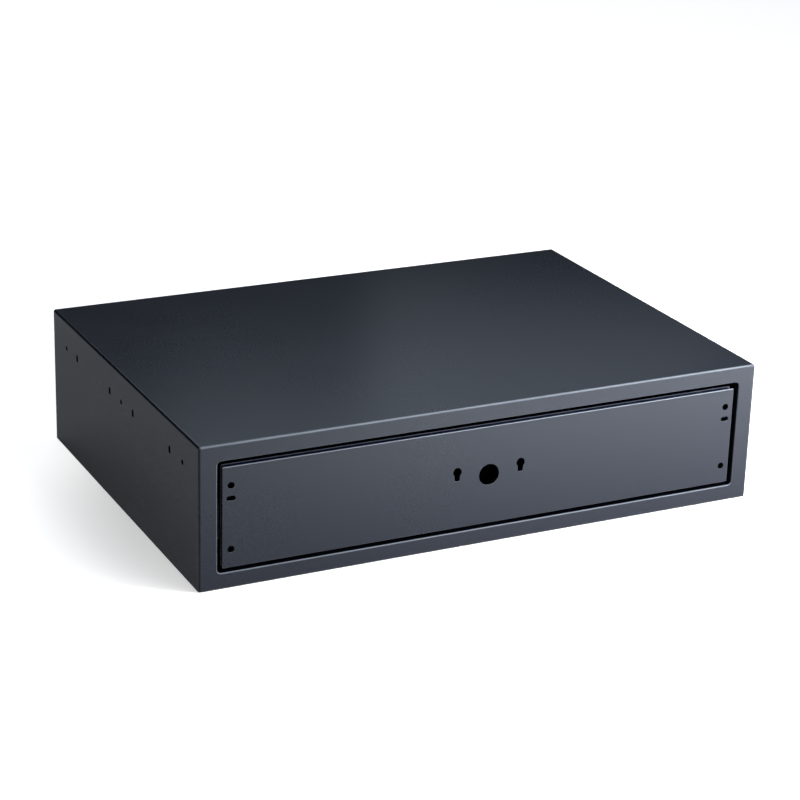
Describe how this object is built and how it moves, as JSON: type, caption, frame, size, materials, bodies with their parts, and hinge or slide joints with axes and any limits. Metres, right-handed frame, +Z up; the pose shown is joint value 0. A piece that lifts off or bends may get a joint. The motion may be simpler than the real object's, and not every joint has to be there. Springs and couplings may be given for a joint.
{
  "type": "under desk drawer safe",
  "caption": "Low wide steel box safe with a framed flush drawer on telescopic slides, bare lock and panel holes in its front, and boltwork behind it.",
  "frame": {"origin": "middle of the base, on the surface that the safe stands on", "axes": "+X to the right along the front, -Y out of the drawer front, +Z up"},
  "size_m": [0.575, 0.4, 0.139],
  "materials": {
    "casing_paint": "satin dark navy charcoal powder coat",
    "drawer_paint": "satin dark navy charcoal powder coat",
    "slide_black": "black electro-coated steel",
    "cage_steel": "pressed steel strip with steel balls",
    "screw_zinc": "zinc plated steel",
    "black_steel": "blackened steel",
    "plate_zinc": "zinc plated steel",
    "bolt_steel": "turned steel"
  },
  "bodies": {
    "casing": {"casing_wrap": "casing_paint", "frame_top": "casing_paint", "frame_bottom": "casing_paint", "frame_left": "casing_paint", "frame_right": "casing_paint", "base_pan": "casing_paint", "rear_panel": "casing_paint", "strike_bar": "casing_paint", "slide_spacer_left": "casing_paint", "slide_spacer_right": "casing_paint", "slide_cabinet_member_left": "slide_black", "slide_cabinet_member_right": "slide_black", "cabinet_screw_left_1": "screw_zinc", "cabinet_screw_left_2": "screw_zinc", "cabinet_screw_right_1": "screw_zinc", "cabinet_screw_right_2": "screw_zinc"},
    "outer_cage_left": {"slide_outer_cage_left": "cage_steel"},
    "outer_cage_right": {"slide_outer_cage_right": "cage_steel"},
    "middle_member_left": {"slide_middle_member_left": "slide_black"},
    "middle_member_right": {"slide_middle_member_right": "slide_black"},
    "inner_cage_left": {"slide_inner_cage_left": "cage_steel"},
    "inner_cage_right": {"slide_inner_cage_right": "cage_steel"},
    "drawer": {"drawer_front_plate": "drawer_paint", "drawer_inner_front": "drawer_paint", "front_top_bar_1": "drawer_paint", "front_top_bar_2": "drawer_paint", "front_top_bar_3": "drawer_paint", "front_bottom_bar": "drawer_paint", "front_end_bar_left": "drawer_paint", "front_end_bar_right": "drawer_paint", "drawer_tray": "drawer_paint", "drawer_back": "drawer_paint", "slide_drawer_member_left": "slide_black", "slide_drawer_member_right": "slide_black", "drawer_screw_left_1": "screw_zinc", "drawer_screw_left_2": "screw_zinc", "drawer_screw_right_1": "screw_zinc", "drawer_screw_right_2": "screw_zinc", "lock_plate": "black_steel", "bolt_guide_left": "plate_zinc", "bolt_guide_right": "plate_zinc", "lock_cover": "drawer_paint", "cover_screw_1": "screw_zinc", "cover_screw_2": "screw_zinc", "cover_screw_3": "screw_zinc", "cover_screw_4": "screw_zinc"},
    "cam": {"lock_cam": "black_steel", "cam_circlip": "black_steel"},
    "bolts": {"bolt_bar": "plate_zinc", "follower_pin": "bolt_steel", "bolt_left": "bolt_steel", "bolt_right": "bolt_steel"}
  },
  "joints": [
    {"name": "drawer_slide", "type": "slide", "parent": "casing", "child": "drawer", "axis": [0, -1, 0], "range_m": [0, 0.34]},
    {"name": "middle_member_left_slide", "type": "slide", "parent": "casing", "child": "middle_member_left", "axis": [0, -1, 0], "range_m": [0, 0.17]},
    {"name": "outer_cage_left_slide", "type": "slide", "parent": "casing", "child": "outer_cage_left", "axis": [0, -1, 0], "range_m": [0, 0.085]},
    {"name": "inner_cage_left_slide", "type": "slide", "parent": "casing", "child": "inner_cage_left", "axis": [0, -1, 0], "range_m": [0, 0.255]},
    {"name": "middle_member_right_slide", "type": "slide", "parent": "casing", "child": "middle_member_right", "axis": [0, -1, 0], "range_m": [0, 0.17]},
    {"name": "outer_cage_right_slide", "type": "slide", "parent": "casing", "child": "outer_cage_right", "axis": [0, -1, 0], "range_m": [0, 0.085]},
    {"name": "inner_cage_right_slide", "type": "slide", "parent": "casing", "child": "inner_cage_right", "axis": [0, -1, 0], "range_m": [0, 0.255]},
    {"name": "cam_turn", "type": "hinge", "parent": "drawer", "child": "cam", "pos_m": [0, -0.185, 0.0687], "axis": [0, 1, 0], "range_deg": [0, 90]},
    {"name": "bolt_throw", "type": "slide", "parent": "drawer", "child": "bolts", "axis": [0, 0, 1], "range_m": [0, 0.015]}
  ],
  "couplings": [
    {"joint": "middle_member_left_slide", "follows": "drawer_slide", "ratio": 0.5},
    {"joint": "outer_cage_left_slide", "follows": "drawer_slide", "ratio": 0.25},
    {"joint": "inner_cage_left_slide", "follows": "drawer_slide", "ratio": 0.75},
    {"joint": "middle_member_right_slide", "follows": "drawer_slide", "ratio": 0.5},
    {"joint": "outer_cage_right_slide", "follows": "drawer_slide", "ratio": 0.25},
    {"joint": "inner_cage_right_slide", "follows": "drawer_slide", "ratio": 0.75},
    {"joint": "bolt_throw", "follows": "cam_turn", "m_per_rad": 0.0095493}
  ]
}
